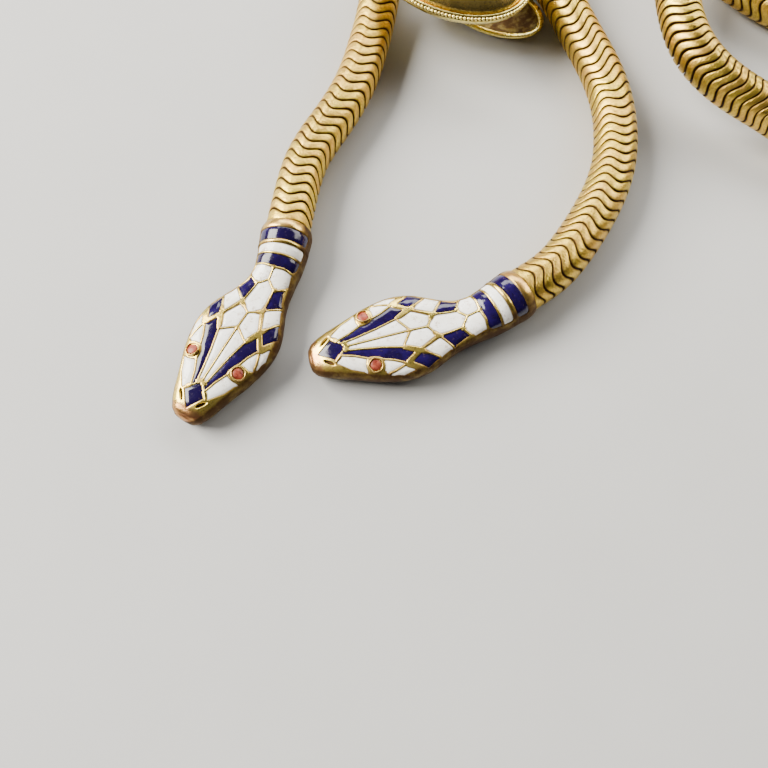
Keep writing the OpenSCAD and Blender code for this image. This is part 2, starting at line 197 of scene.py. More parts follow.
# How much darker the inside of the dish, under the bezel, is painted
DISH_INSIDE_DARKENING = 0.7
BEAD_R, BEAD_PITCH, BEAD_INSET, BEAD_Z = 0.25, 0.52, 0.27, 9.16
DOME_INSET, DOME_FOOT_Z, DOME_Z, DOME_RISE = 1.2, 8.5, 9.0, 2.9
# Post: radius, height
POST_MID = (-2.9, 1.0)
POST = [(0.3, 0.4), (2.4, 0.4), (2.4, 0.8), (2.3, 1.2), (2.3, 6.9), (2.4, 7.3), (2.6, 7.6), (0.3, 7.6)]
# Guide tubes: their middles and headings, and their wall as radius and place along the strand
GUIDES = [("left", -15.8, 6.0, 80.9), ("right", 7.4, 5.25, 113.9)]
GUIDE_Z = 4.0
GUIDE = [
    (3.36, -2.5), (3.3, -2.3), (3.3, 2.3), (3.36, 2.5), (3.55, 2.5), (3.62, 2.44), (3.86, 2.4),
    (3.9, 2.3), (3.9, 1.75), (3.82, 1.6), (3.82, -1.6), (3.9, -1.75), (3.9, -2.3), (3.86, -2.4),
    (3.62, -2.44), (3.55, -2.5), (3.36, -2.5),
]
ARM_HALF_WIDTH, ARM_HALF_HEIGHT, ARM_Z = 2.45, 0.4, 7.9


# Meshes
def smoothstep(x):
    x = np.clip(x, 0.0, 1.0)
    return x * x * (3 - 2 * x)


def make_piece(name, points, faces, material, replaces=(), fields=None):
    mesh = bpy.data.meshes.new(name)
    mesh.from_pydata((np.asarray(points, float) * MM).tolist(), [], [list(f) for f in faces])
    for field, values in (fields or {}).items():
        values = np.asarray(values, np.float32)
        vector = values.ndim == 2
        kind = "FLOAT_VECTOR" if vector else "FLOAT"
        layer = mesh.attributes.new(field, kind, "POINT")
        layer.data.foreach_set("vector" if vector else "value", values.ravel())
    mesh.validate()
    mesh.polygons.foreach_set("use_smooth", np.ones(len(mesh.polygons), bool))
    mesh.materials.append(material)
    piece = bpy.data.objects.new(name, mesh)
    bpy.context.scene.collection.objects.link(piece)
    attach(piece, "root")
    if replaces:
        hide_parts(*replaces)
    return piece


def tube_faces(rows, columns):
    i, k = np.meshgrid(np.arange(rows - 1), np.arange(columns), indexing="ij")
    n = (k + 1) % columns
    quads = np.stack([i * columns + k, i * columns + n, (i + 1) * columns + n, (i + 1) * columns + k], -1)
    return quads.reshape(-1, 4)


def closed_tube(rings):
    """A skin through rings of equal length, with a fan at each end."""
    rings = np.asarray(rings, float)
    rows, columns = rings.shape[:2]
    points = rings.reshape(-1, 3)
    first, last = rings[0].mean(0), rings[-1].mean(0)
    points = np.vstack([points, first, last])
    faces = tube_faces(rows, columns).tolist()
    a, b = rows * columns, rows * columns + 1
    end = (rows - 1) * columns
    for k in range(columns):
        n = (k + 1) % columns
        faces.append([a, n, k])
        faces.append([b, end + k, end + n])
    return points, faces


class Line:
    """Smooth line through a route, with its frame at any length."""

    def __init__(self, route, start, end):
        p = np.asarray(route, float)
        h = np.linalg.norm(np.diff(p, axis=0), axis=1)
        n = len(p)
        a = np.zeros((n, n))
        b = np.zeros((n, 3))
        for i in range(1, n - 1):
            a[i, i - 1] = 1 / h[i - 1]
            a[i, i] = 2 * (1 / h[i - 1] + 1 / h[i])
            a[i, i + 1] = 1 / h[i]
            b[i] = 3 * ((p[i] - p[i - 1]) / h[i - 1] ** 2 + (p[i + 1] - p[i]) / h[i] ** 2)
        a[0, 0] = a[-1, -1] = 1
        b[0], b[-1] = start, end
        slope = np.linalg.solve(a, b)
        out = []
        for i in range(n - 1):
            u = np.linspace(0, 1, LINE_STEPS, endpoint=False)[:, None]
            out.append(
                (2 * u**3 - 3 * u**2 + 1) * p[i] + (u**3 - 2 * u**2 + u) * h[i] * slope[i]
                + (3 * u**2 - 2 * u**3) * p[i + 1] + (u**3 - u**2) * h[i] * slope[i + 1]
            )
        self.p = np.clip(np.vstack(out + [p[-1:]]), p.min(0), p.max(0))
        step = np.linalg.norm(np.diff(self.p, axis=0), axis=1)
        self.s = np.concatenate([[0], np.cumsum(step)])
        self.total = self.s[-1]
        t = np.gradient(self.p, self.s, axis=0)
        t[0], t[-1] = start, end
        self.t = t / np.linalg.norm(t, axis=1)[:, None]
        up = np.array([0, 0, 1.0]) - self.t[:, 2:3] * self.t
        self.up = up / np.linalg.norm(up, axis=1)[:, None]
        self.side = np.cross(self.t, self.up)
        bend = np.gradient(self.t, self.s, axis=0)
        kernel = np.hanning(2 * BEND_SMOOTHS + 1)
        kernel /= kernel.sum()
        padded = np.pad(bend, ((BEND_SMOOTHS, BEND_SMOOTHS), (0, 0)), mode="edge")
        self.bend = np.stack([np.convolve(c, kernel, "valid") for c in padded.T], 1)

    def at(self, values, s):
        return np.stack([np.interp(s, self.s, c) for c in values.T], -1)


def chain_piece(name, line, pitches, twist, lean, material):
    """Interlocking wavy links as one closed corrugated skin; the seams open on the outside of a bend."""
    fine = np.linspace(0, line.total, 4000)
    pitch = np.interp(fine, *zip(*pitches))
    turns = np.concatenate([[0], np.cumsum(np.diff(fine) / pitch[1:])])
    count = round(turns[-1])
    ends = np.interp(np.linspace(0, turns[-1], count + 1), turns, fine)
    theta = np.linspace(0, 2 * np.pi, CHAIN_COLUMNS, endpoint=False)
    out = np.stack([np.cos(theta), np.sin(theta)])
    along, at_side, at_top = zip(*lean)

    def ahead(at, stretch):
        """How far the seam at this place runs ahead along the chain, all the way round."""
        swing = WAVE * min(1, np.interp(at, *zip(*pitches)) / FULL_PITCH) ** 2 / stretch
        crest = np.radians(np.interp(at, *zip(*twist)))
        tilt = np.interp(at, along, at_top) * out[0] + np.interp(at, along, at_side) * out[1]
        fade = smoothstep((at + 1) / HEAD_FADE) * smoothstep((line.total - at) / MEET_FADE)
        return (swing * np.cos(WAVES * (theta - crest)) + tilt) * fade

    rows, grime_and_shade, tone, flow = [], [], [], []
    tones = rng.uniform(-1, 1, count)
    for k in range(count):
        centre = np.array([(ends[k] + ends[k + 1]) / 2])
        bend = line.at(line.bend, centre)[0]
        up, side = line.at(line.up, centre)[0], line.at(line.side, centre)[0]
        stretch = 1 - CHAIN_R * (bend @ up * out[0] + bend @ side * out[1])
        seam = np.clip(SEAM * (1 + SEAM_OPENS * (stretch - 1)), *SEAM_LIMITS) / stretch
        back = ends[k] + ahead(ends[k], stretch) + seam / 2
        front = ends[k + 1] + ahead(ends[k + 1], stretch) - seam / 2
        for across, depth, dirt in LINK_PROFILE:
            s = (back + front + across * (front - back)) / 2
            radius = CHAIN_R - depth
            arm = out[0][:, None] * line.at(line.up, s) + out[1][:, None] * line.at(line.side, s)
            spot = line.at(line.p, s) + line.at(line.t, s) * np.clip(s - line.total, 0, 1)[:, None]
            rows.append(spot + radius * arm)
            grime_and_shade.append(np.full(CHAIN_COLUMNS, dirt))
            tone.append(np.full(CHAIN_COLUMNS, tones[k]))
            flow.append(np.stack([s, CHAIN_R * theta, np.full_like(s, k)], -1))
    points, faces = closed_tube(rows)
    fields = {
        "grime_and_shade": np.concatenate(grime_and_shade + [[1, 1]]),
        "tone": np.concatenate(tone + [[0, 0]]),
        "flow": np.vstack(flow + [np.zeros((2, 3))]),
    }
    return make_piece(name, points, faces, material, (name.replace("_links", ""),), fields)


# Heads
def curve_through(x, table, column):
    xs, ys = table[:, 0], table[:, column]
    slope = np.gradient(ys, xs)
    i = np.clip(np.searchsorted(xs, x, side="right") - 1, 0, len(xs) - 2)
    h = xs[i + 1] - xs[i]
    u = (x - xs[i]) / h
    return (
        (2 * u**3 - 3 * u**2 + 1) * ys[i] + (u**3 - 2 * u**2 + u) * h * slope[i]
        + (3 * u**2 - 2 * u**3) * ys[i + 1] + (u**3 - u**2) * h * slope[i + 1]
    )


def on_head(s, w):
    bend_len = BEND_R * NECK_BEND
    turn = np.clip((s - COLLAR_LEAD) / BEND_R, 0, NECK_BEND)
    past = np.maximum(s - COLLAR_LEAD - bend_len, 0)
    x = np.minimum(s, COLLAR_LEAD) + BEND_R * np.sin(turn) + past * np.cos(NECK_BEND) + w * np.sin(turn)
    y = -BEND_R * (1 - np.cos(turn)) - past * np.sin(NECK_BEND) + w * np.cos(turn)
    return x, y


def rounded(v, e):
    return np.sign(v) * np.abs(v) ** (2 / e)


def inside(s, w, corners):
    """Distance from the edge of a cell, positive inside it."""
    far = np.full(s.shape, 1e9)
    within = np.zeros(s.shape, bool)
    for (x0, y0), (x1, y1) in zip(corners, corners[1:] + corners[:1]):
        dx, dy = x1 - x0, y1 - y0
        u = np.clip(((s - x0) * dx + (w - y0) * dy) / (dx * dx + dy * dy), 0, 1)
        far = np.minimum(far, np.hypot(s - x0 - u * dx, w - y0 - u * dy))
        crosses = ((y0 > w) != (y1 > w)) & (s < (x1 - x0) * (w - y0) / ((y1 - y0) or 1e-9) + x0)
        within ^= crosses
    return np.where(within, far, -far)


def even_angles(half, rise, square, count):
    """Angles of a half oval, from 0 to pi, that cut its outline into equal lengths."""
    fine = np.linspace(0, np.pi, 900)
    w, z = half * rounded(np.cos(fine), square), rise * rounded(np.sin(fine), square)
    length = np.concatenate([[0], np.cumsum(np.hypot(np.diff(w), np.diff(z)))])
    return np.interp(np.linspace(0, length[-1], count, endpoint=False), length, fine)


def round_corner(a, b, r):
    """Distance inside two edges that meet square, with the corner rounded off."""
    corner = r - np.hypot(np.maximum(r - a, 0), np.maximum(r - b, 0))
    return np.where((a < r) & (b < r), corner, np.minimum(a, b))


class Head:
    """Shape fields of a head on one fine grid, shared by both heads."""

    def __init__(self):
        last = HEAD_ROWS[-1, 0]
        snout = last - SNOUT_LENGTH
        rows = np.concatenate([
            np.arange(0, snout, HEAD_STEP),
            snout + (last - snout) * np.sin(np.linspace(0, np.pi / 2, SNOUT_ROWS)),
        ])
        half, crest, waist, belly, square = (curve_through(rows, HEAD_ROWS, c) for c in range(1, 6))
        under_square = np.minimum(square, BELLY_SQUARE)
        self.a = np.array([
            np.concatenate([
                even_angles(half[i], crest[i] - waist[i], square[i], TOP_COLUMNS),
                np.pi + even_angles(half[i], waist[i] - belly[i], under_square[i], UNDER_COLUMNS),
            ])
            for i in range(len(rows))
        ])
        self.above = np.sin(self.a) > 0
        self.s, self.half, self.crest, self.waist, self.belly, self.square = (
            np.repeat(v[:, None], self.a.shape[1], 1) for v in (rows, half, crest, waist, belly, square)
        )
        self.square = np.where(self.above, self.square, np.minimum(self.square, BELLY_SQUARE))
        self.w = self.half * rounded(np.cos(self.a), self.square)
        self.z = self.height(0)
        self.white, self.blue = self.cells()

    def cells(self):
        """Distance from the edge of the white and of the blue enamel, positive inside it."""
        w = np.where(self.above, self.w, 99.0)
        white = [inside(self.s, w, CENTRE_WHITE), self.band(WHITE_BAND)]
        blue = [inside(self.s, w, NOSE_BLUE)] + [self.band(ends) for ends in BLUE_BANDS]
        other = []
        for side in (-1, 1):
            white += [inside(self.s, side * w, corners) for corners in SIDE_WHITES]
            blue += [inside(self.s, side * w, corners) for corners in SIDE_BLUES]
            other.append(COLLET_R - np.hypot(self.s - EYE_AT, w - side * EYE_SIDE))
        every = np.array(white + blue + other)
        best, second = np.sort(every, axis=0)[:-3:-1]
        near = smoothstep((second + NEIGHBOUR_WITHIN) / NEIGHBOUR_BLEND)
        reach = CELL_GROWS + CELL_REACHES * near
        cell = np.minimum(best + reach, (best - second - GOLD_LINE) / 2)
        which = every.argmax(0)
        return (
            np.where(which < len(white), cell, -9),
            np.where((which >= len(white)) & (which < len(white) + len(blue)), cell, -9),
        )

    def band(self, ends):
        low = np.where(self.above, self.z - BAND_LOW, -9)
        return round_corner(np.minimum(self.s - ends[0], ends[1] - self.s), low, BAND_ROUND)

    def height(self, raised):
        up = np.sin(self.a)
        reach = np.where(self.above, self.crest + raised - self.waist, self.waist - self.belly + raised)
        return self.waist + reach * rounded(up, self.square)

    def points(self, raised):
        w = (self.half + raised) * rounded(np.cos(self.a), self.square)
        x, y = on_head(self.s, w)
        return np.stack([x, y, self.height(raised)], -1)


def placed(points, rim, heading):
    c, s = np.cos(np.radians(heading)), np.sin(np.radians(heading))
    points = np.asarray(points, float)
    out = points.copy()
    out[..., 0] = rim[0] + c * points[..., 0] - s * points[..., 1]
    out[..., 1] = rim[1] + s * points[..., 0] + c * points[..., 1]
    return out


def hump(x):
    """Rounded ridge of height 1 between -1 and 1."""
    return np.sqrt(np.clip(1 - x * x, 0, 1))


def head_gold(head):
    """Height of the cast metal over the plain form, how worn it is, and its grime and painted shade."""
    cell = np.maximum(head.white, head.blue)
    side = np.abs(head.w)
    floor = -CELL_LIP - CELL_FLOOR * smoothstep(cell / 0.12)
    gold = -GOLD_LEVEL - (CELL_LIP - GOLD_LEVEL) * (1 - smoothstep(-cell / 0.1))
    raised = np.where(cell > 0, floor, gold)
    grime_and_shade = np.zeros_like(cell)
    # Rolled rim of the collar and the moulding between its first two bands
    high = smoothstep((head.z - RIDGE_LOW) / RIDGE_FADE)
    for middle, half, tall in COLLAR_RIDGES:
        away = np.abs(head.s - middle)
        raised = raised + tall * (hump(away / half) - 0.3) * high * (away < half)
        groove = np.exp(-((away - half) / 0.07) ** 2) * high
        grime_and_shade = np.maximum(grime_and_shade, 0.5 * groove * (cell < 0))
    # Nostrils: lens-shaped slits beside the nose cell
    (s0, w0), (s1, w1) = NOSTRIL
    ds, dw = (s1 - s0) / 2, (w1 - w0) / 2
    long = np.hypot(ds, dw)
    u = ((head.s - (s0 + s1) / 2) * ds + (side - (w0 + w1) / 2) * dw) / long / NOSTRIL_LENGTH
    v = ((head.s - (s0 + s1) / 2) * -dw + (side - (w0 + w1) / 2) * ds) / long / NOSTRIL_WIDTH
    slit = np.where(head.above, 1 - smoothstep((np.sqrt(u * u + v * v) - 0.55) / 0.45), 0)
    raised = raised - NOSTRIL_DEPTH * slit
    grime_and_shade = np.maximum(grime_and_shade, slit)
    # Lip ridge that follows the edge of the upper face, and the mouth line under it
    line_z = MOUTH_Z + MOUTH_RISE * smoothstep((24 - head.s) / 6)
    front = smoothstep((head.s - MOUTH_START) / 3)
    mouth = np.exp(-((head.z - line_z) / MOUTH_WIDTH) ** 2) * front
    lip = np.exp(-((head.z - line_z - LIP_ABOVE) / LIP_WIDTH) ** 2) * front
    raised = raised - MOUTH_DEPTH * mouth - LIP_DROP * (1 - lip) * front * (head.z < line_z + LIP_ABOVE)
    grime_and_shade = np.maximum(grime_and_shade, 0.8 * mouth)
    snout, rim = smoothstep((head.s - SNOUT_WEAR) / 0.6), smoothstep((RIM_WEAR - head.s) / 0.15)
    wear = np.maximum(snout, 0.6 * rim)
    # Painted shade on the walls, climbing higher on the near side, which faces away from the key light
    starts = np.where(head.w > 0, WALL_SHADE_HIGH, WALL_SHADE_LOW)
    low = smoothstep((starts - (head.z - head.waist) / (head.crest - head.waist)) / WALL_SHADE_FADE)
    return raised, np.maximum(grime_and_shade, low * WALL_SHADE_STRENGTH), wear, np.clip(cell, -0.5, 0.5)


def shell(head, depth_field, cell):
    """Closed thin layer of enamel over the grid faces inside the cells."""
    keep = (cell > -ENAMEL_PAST).ravel()
    quads = tube_faces(*cell.shape)
    quads = quads[keep[quads].all(1)]
    used, index = np.unique(quads, return_inverse=True)
    quads = index.reshape(-1, 4)
    top = head.points(depth_field).reshape(-1, 3)[used]
    bottom = head.points(np.minimum(depth_field, -ENAMEL_EDGE) - ENAMEL_DROP).reshape(-1, 3)[used]
    n = len(used)
    edges = np.concatenate([quads[:, [i, (i + 1) % 4]] for i in range(4)])
    key = np.sort(edges, 1)
    _, first, times = np.unique(key, axis=0, return_index=True, return_counts=True)
    rim = edges[first[times == 1]]
    walls = np.stack([rim[:, 1], rim[:, 0], rim[:, 0] + n, rim[:, 1] + n], 1)
    faces = np.vstack([quads, quads[:, ::-1] + n, walls])
    depth = np.concatenate([cell.ravel()[used], np.full(n, -0.2)])
    return np.vstack([top, bottom]), faces.tolist(), depth


def lathe(profile, segments):
    """Rings of a profile (radius, height) turned about +Z."""
    t = np.linspace(0, 2 * np.pi, segments, endpoint=False)
    return np.array([[(r * np.cos(q), r * np.sin(q), z) for q in t] for r, z in profile])


def eye_place(head_z, side, points):
    c, s = np.cos(EYE_TILT), np.sin(EYE_TILT)
    x, y, z = points[..., 0], points[..., 1], points[..., 2]
    tilted = np.stack([x, c * y + side * s * z, -side * s * y + c * z], -1)
    turn = -NECK_BEND
    cx, cy = on_head(np.array(EYE_AT), np.array(side * EYE_SIDE))
    out = tilted.copy()
    out[..., 0] = cx + np.cos(turn) * tilted[..., 0] - np.sin(turn) * tilted[..., 1]
    out[..., 1] = cy + np.sin(turn) * tilted[..., 0] + np.cos(turn) * tilted[..., 1]
    out[..., 2] = head_z + tilted[..., 2]
    return out


def eye_level():
    half, crest, waist, square = (curve_through(np.array(EYE_AT), HEAD_ROWS, c) for c in (1, 2, 3, 5))
    return waist + (crest - waist) * (1 - (EYE_SIDE / half) ** square) ** (1 / square)


def build_head(side_name, rim, heading, head, mats):
    raised, grime_and_shade, wear, edge = head_gold(head)
    points, faces = closed_tube(placed(head.points(raised), rim, heading))
    fields = {
        "grime_and_shade": np.concatenate([grime_and_shade.ravel(), [0.3, 0]]),
        "wear": np.concatenate([wear.ravel(), [0.5, 1]]),
        "edge": np.concatenate([edge.ravel(), [-0.5, -0.5]]),
    }
    name = f"{side_name}_head"
    make_piece(name + "_casting", points, faces, mats["head_metal"], (name,), fields)
    for colour, cell in (("white", head.white), ("blue", head.blue)):
        swell = ENAMEL_SWELL * smoothstep(cell / 0.45) - ENAMEL_DIP * smoothstep(-cell / 0.1) - ENAMEL_EDGE
        points, faces, depth = shell(head, swell, cell)
        node = f"{name}_{colour}_enamel"
        make_piece(node + "_cells", placed(points, rim, heading), faces, mats[f"{colour}_enamel"],
                   (node,), {"depth": depth})
    collets, collet_faces = [], []
    angle = np.linspace(0, 2 * np.pi, EYE_SEGMENTS, endpoint=False)
    for eye, side in (("left", 1), ("right", -1)):
        rings = lathe(COLLET + COLLET[:1], EYE_SEGMENTS)
        rings[..., :2] *= (1 + 0.02 * np.cos(5 * angle + side) + 0.015 * np.cos(3 * angle))[None, :, None]
        start = len(collets) * rings[..., 0].size
        collet_faces += (tube_faces(len(rings), EYE_SEGMENTS) + start).tolist()
        collets.append(placed(eye_place(eye_level(), side, rings.reshape(-1, 3)), rim, heading))
        points, faces = closed_tube(lathe(STONE, EYE_SEGMENTS))
        node = f"{name}_{eye}_eye"
        make_piece(node + "_stone", placed(eye_place(eye_level(), side, points), rim, heading), faces,
                   mats["eye_stone"], (node,))
    make_piece(name + "_eye_collets", np.vstack(collets), collet_faces, mats["collet_metal"])


# Slide
def oval_ring(mid, a, b, z, count=OVAL_COLUMNS):
    t = np.linspace(0, 2 * np.pi, count, endpoint=False)
    c, s = np.cos(SLIDE_TURN), np.sin(SLIDE_TURN)
    x, y = a * np.cos(t), b * np.sin(t)
    return np.stack([mid[0] + c * x - s * y, mid[1] + s * x + c * y, np.full_like(t, z)], -1)


def stacked_ovals(mid, a, b, profile):
    """Rings that lie inside an oval by the given inset at the given height."""
    return np.array([oval_ring(mid, a - inset, b - inset, z) for inset, z in profile])


def build_slide(mats):
    gold, plain = mats["slide_metal"], mats["inner_metal"]
    points, faces = closed_tube(stacked_ovals(BEZEL_MID, BEZEL_A, BEZEL_B, BEZEL))
    # The ledge under the beads gets painted shade
    dark = [LEDGE_SHADE if 0.33 < inset < 0.57 and z > 8.6 else 0.0 for inset, z in BEZEL]
    make_piece("slide_bezel", points, faces, gold, ("slide_frame",),
               {"grime_and_shade": np.concatenate([np.repeat(dark, OVAL_COLUMNS), [0, 0]])})
    a, b = BEZEL_A - DOME_INSET, BEZEL_B - DOME_INSET
    rings = [oval_ring(BEZEL_MID, a * k, b * k, DOME_FOOT_Z) for k in (0.1, 1)]
    for t in np.radians(np.linspace(0, 89, 40)):
        swell = np.cos(t) ** 0.9
        rings.append(oval_ring(BEZEL_MID, a * swell, b * swell, DOME_Z + DOME_RISE * np.sin(t)))
    points, faces = closed_tube(rings)
    make_piece("slide_dome_shell", points, faces, mats["dome_metal"], ("slide_dome",))
    points, faces = closed_tube(stacked_ovals((0, 0), DISH_A, DISH_B, DISH))
    # The inside of the dish and its floor are painted darker
    dark = [DISH_INSIDE_DARKENING if inset > 0.85 and z > 0.55 else 0.0 for inset, z in DISH]
    make_piece("slide_dish", points, faces, gold,
               fields={"grime_and_shade": np.concatenate([np.repeat(dark, OVAL_COLUMNS), [0, DISH_INSIDE_DARKENING]])})
    points, faces = closed_tube(lathe(POST, 48) + np.array([*POST_MID, 0]))
    make_piece("slide_post", points, faces, plain)
    for side, x, y, heading in GUIDES:
        up, across, along = lathe(GUIDE, 64).reshape(-1, 3).T
        c, s = np.cos(np.radians(heading)), np.sin(np.radians(heading))
        points = np.stack([x + c * along - s * across, y + s * along + c * across, GUIDE_Z + up], -1)
        faces = tube_faces(len(GUIDE), 64)[:, ::-1].tolist()
        make_piece(f"slide_{side}_guide", points, faces, plain)
    # Arm from the post to the right guide
    start, end = np.array(POST_MID), np.array(GUIDES[1][1:3])
    length = np.linalg.norm(end - start)
    way = (end - start) / length
    normal = np.array([-way[1], way[0]])
    angle = np.linspace(0, 2 * np.pi, 24, endpoint=False)
    across, up = (np.sign(v) * np.abs(v) ** 0.35 for v in (np.cos(angle), np.sin(angle)))
    rings = []
    for d in np.linspace(0, length, 12):
        ring = start + way * d + ARM_HALF_WIDTH * across[:, None] * normal
        rings.append(np.column_stack([ring, ARM_Z + ARM_HALF_HEIGHT * up]))
    points, faces = closed_tube(rings)
    make_piece("slide_arm", points, faces, plain)
    # Beaded edge of the bezel
    edge = oval_ring(BEZEL_MID, BEZEL_A - BEAD_INSET, BEZEL_B - BEAD_INSET, BEAD_Z, 4000)
    edge = np.vstack([edge, edge[:1]])
    length = np.concatenate([[0], np.cumsum(np.linalg.norm(np.diff(edge, axis=0), axis=1))])
    count = round(length[-1] / BEAD_PITCH)
    spots = np.linspace(0, length[-1], count, endpoint=False)
    centres = np.stack([np.interp(spots, length, c) for c in edge.T], -1)
    profile = [(BEAD_R * np.cos(q), BEAD_R * np.sin(q)) for q in np.radians((-85, -50, -15, 20, 50, 80))]
    ball_points, ball_faces = closed_tube(lathe(profile, 10))
    n = len(ball_points)
    points = np.vstack([c + ball_points * k for c, k in zip(centres, rng.uniform(0.92, 1.0, count))])
    faces = [[i + j * n for i in f] for j in range(count) for f in ball_faces]
    make_piece("slide_beading", points, faces, plain)


# Materials: colours that stains, wear, dirt and painted shade have on every metal and enamel
SPECK = (0.20, 0.11, 0.03)
DULL = (0.30, 0.17, 0.05)
STREAK = (0.42, 0.27, 0.06)
FINE_STREAK = (0.36, 0.22, 0.05)
WORN_COPPER = (0.50, 0.22, 0.10)
# Dark brown for grime, also painted on as shade: on the head walls, at the lips of the links and on the
# ledge under the beads; it also darkens the inside of the dish
GRIME_AND_SHADE = (0.07, 0.034, 0.010)
ENAMEL_DIRT = (0.12, 0.08, 0.06)


def new_material(name):
    """A material, its nodes and its shader."""
    material = bpy.data.materials.new(name)
    material.use_nodes = True
    tree = material.node_tree
    return material, Nodes(tree), tree.nodes["Principled BSDF"]


class Nodes:
    def __init__(self, tree):
        self.tree = tree

    def add(self, kind, **values):
        node = self.tree.nodes.new(kind)
        for key, value in values.items():
            setattr(node, key, value)
        return node

    def link(self, a, b):
        self.tree.links.new(a, b)

    def attribute(self, name):
        return self.add("ShaderNodeAttribute", attribute_name=name)

    def noise(self, scale, detail, roughness, vector=None):
        vector = vector or self.add("ShaderNodeTexCoord").outputs["Object"]
        node = self.add("ShaderNodeTexNoise")
        node.inputs["Scale"].default_value = scale
        node.inputs["Detail"].default_value = detail
        node.inputs["Roughness"].default_value = roughness
        self.link(vector, node.inputs["Vector"])
        return node.outputs["Fac"]

    def ramp(self, value, low, high, to_low=0.0, to_high=1.0):
        node = self.add("ShaderNodeMapRange")
        for key, number in (("From Min", low), ("From Max", high), ("To Min", to_low), ("To Max", to_high)):
            node.inputs[key].default_value = number
        self.link(value, node.inputs["Value"])
        return node.outputs["Result"]

    def mix(self, factor, a, b):
        node = self.add("ShaderNodeMix", data_type="RGBA")
        self.socket(factor, node.inputs[0])
        self.socket(a, node.inputs[6])
        self.socket(b, node.inputs[7])
        return node.outputs[2]

    def socket(self, value, target):
        if isinstance(value, bpy.types.NodeSocket):
            self.link(value, target)
        elif isinstance(value, tuple):
            target.default_value = (*value, 1)
        else:
            target.default_value = value

    def math(self, operation, a, b=0.0):
        node = self.add("ShaderNodeMath", operation=operation)
        self.socket(a, node.inputs[0])
        self.socket(b, node.inputs[1])
        return node.outputs[0]

    def bump(self, height, strength, distance, normal=None):
        node = self.add("ShaderNodeBump")
        node.inputs["Strength"].default_value = strength
        node.inputs["Distance"].default_value = distance
        self.link(height, node.inputs["Height"])
        if normal:
            self.link(normal, node.inputs["Normal"])
        return node.outputs["Normal"]

    def stretched(self, vector, scale):
        node = self.add("ShaderNodeMapping")
        node.inputs["Scale"].default_value = scale
        self.link(vector, node.inputs["Vector"])
        return node.outputs["Vector"]


def gilt(name, pale, mid, rosy, rough, fields=(), grain=0.4):
    """Old gilt metal: pale and rosy patches, fine scratches, dark grime and painted shade where a field says
    so.
    """
    material, n, shader = new_material(name)
    broad = n.noise(160, 5, 0.6)
    patches = n.noise(520, 6, 0.65)
    specks = n.noise(3200, 3, 0.6)
    colour = n.mix(n.ramp(broad, 0.38, 0.62), mid, pale)
    colour = n.mix(n.ramp(patches, 0.5, 0.7, 0.0, 0.6), colour, rosy)
    colour = n.mix(n.ramp(specks, 0.53, 0.72, 0.0, 0.6), colour, SPECK)
    if "edge" in fields:
        # The gold is duller towards a cell
        line = n.ramp(n.attribute("edge").outputs["Fac"], -0.12, -0.03, 0.0, 0.85)
        dull = n.math("MULTIPLY", line, n.ramp(patches, 0.3, 0.6, 0.5, 1.0))
        colour = n.mix(dull, colour, DULL)
    streaks = None
    if "flow" in fields:
        flow = n.attribute("flow").outputs["Vector"]
        streaks = n.noise(1.0, 4, 0.6, n.stretched(flow, (4.5, 1.5, 3.7)))
        colour = n.mix(n.ramp(streaks, 0.46, 0.64, 0.0, 0.6), colour, STREAK)
        colour = n.mix(n.ramp(n.noise(6500, 2, 0.6), 0.42, 0.62, 0.0, 0.5), colour, FINE_STREAK)
    if "tone" in fields:
        tone = n.attribute("tone").outputs["Fac"]
        colour = n.mix(n.ramp(tone, -1, 1, 0.0, 0.35), colour, rosy)
    if "wear" in fields:
        wear = n.math("MULTIPLY", n.attribute("wear").outputs["Fac"], n.ramp(patches, 0.3, 0.6, 0.5, 1.0))
        colour = n.mix(wear, colour, WORN_COPPER)
    rough_value = n.ramp(patches, 0.3, 0.7, *rough)
    metallic = 1.0
    # The dark field, grime and painted shade together, darkens and roughens the metal
    if "grime_and_shade" in fields:
        grime_and_shade = n.attribute("grime_and_shade").outputs["Fac"]
        if "edge" in fields:
            off = n.math("ABSOLUTE", n.math("SUBTRACT", n.attribute("edge").outputs["Fac"], 0.03))
            grime_and_shade = n.math("MAXIMUM", grime_and_shade, n.ramp(off, 0.0, 0.06, 0.8, 0.0))
        edge = n.ramp(n.math("ADD", grime_and_shade, n.ramp(patches, 0.3, 0.7, -0.12, 0.12)), 0.12, 0.75)
        colour = n.mix(edge, colour, GRIME_AND_SHADE)
        rough_value = n.math("ADD", rough_value, n.math("MULTIPLY", edge, 0.3))
        metallic = n.ramp(edge, 0.6, 1.0, 1.0, 0.85)
    n.link(colour, shader.inputs["Base Color"])
    n.link(rough_value, shader.inputs["Roughness"])
    n.socket(metallic, shader.inputs["Metallic"])
    if streaks:
        normal = n.bump(streaks, 0.8, 0.0001)
    else:
        normal = n.bump(n.noise(900, 4, 0.6), grain, 0.0001)
    normal = n.bump(specks, 0.4, 0.00005, normal)
    n.link(normal, shader.inputs["Normal"])
    return material


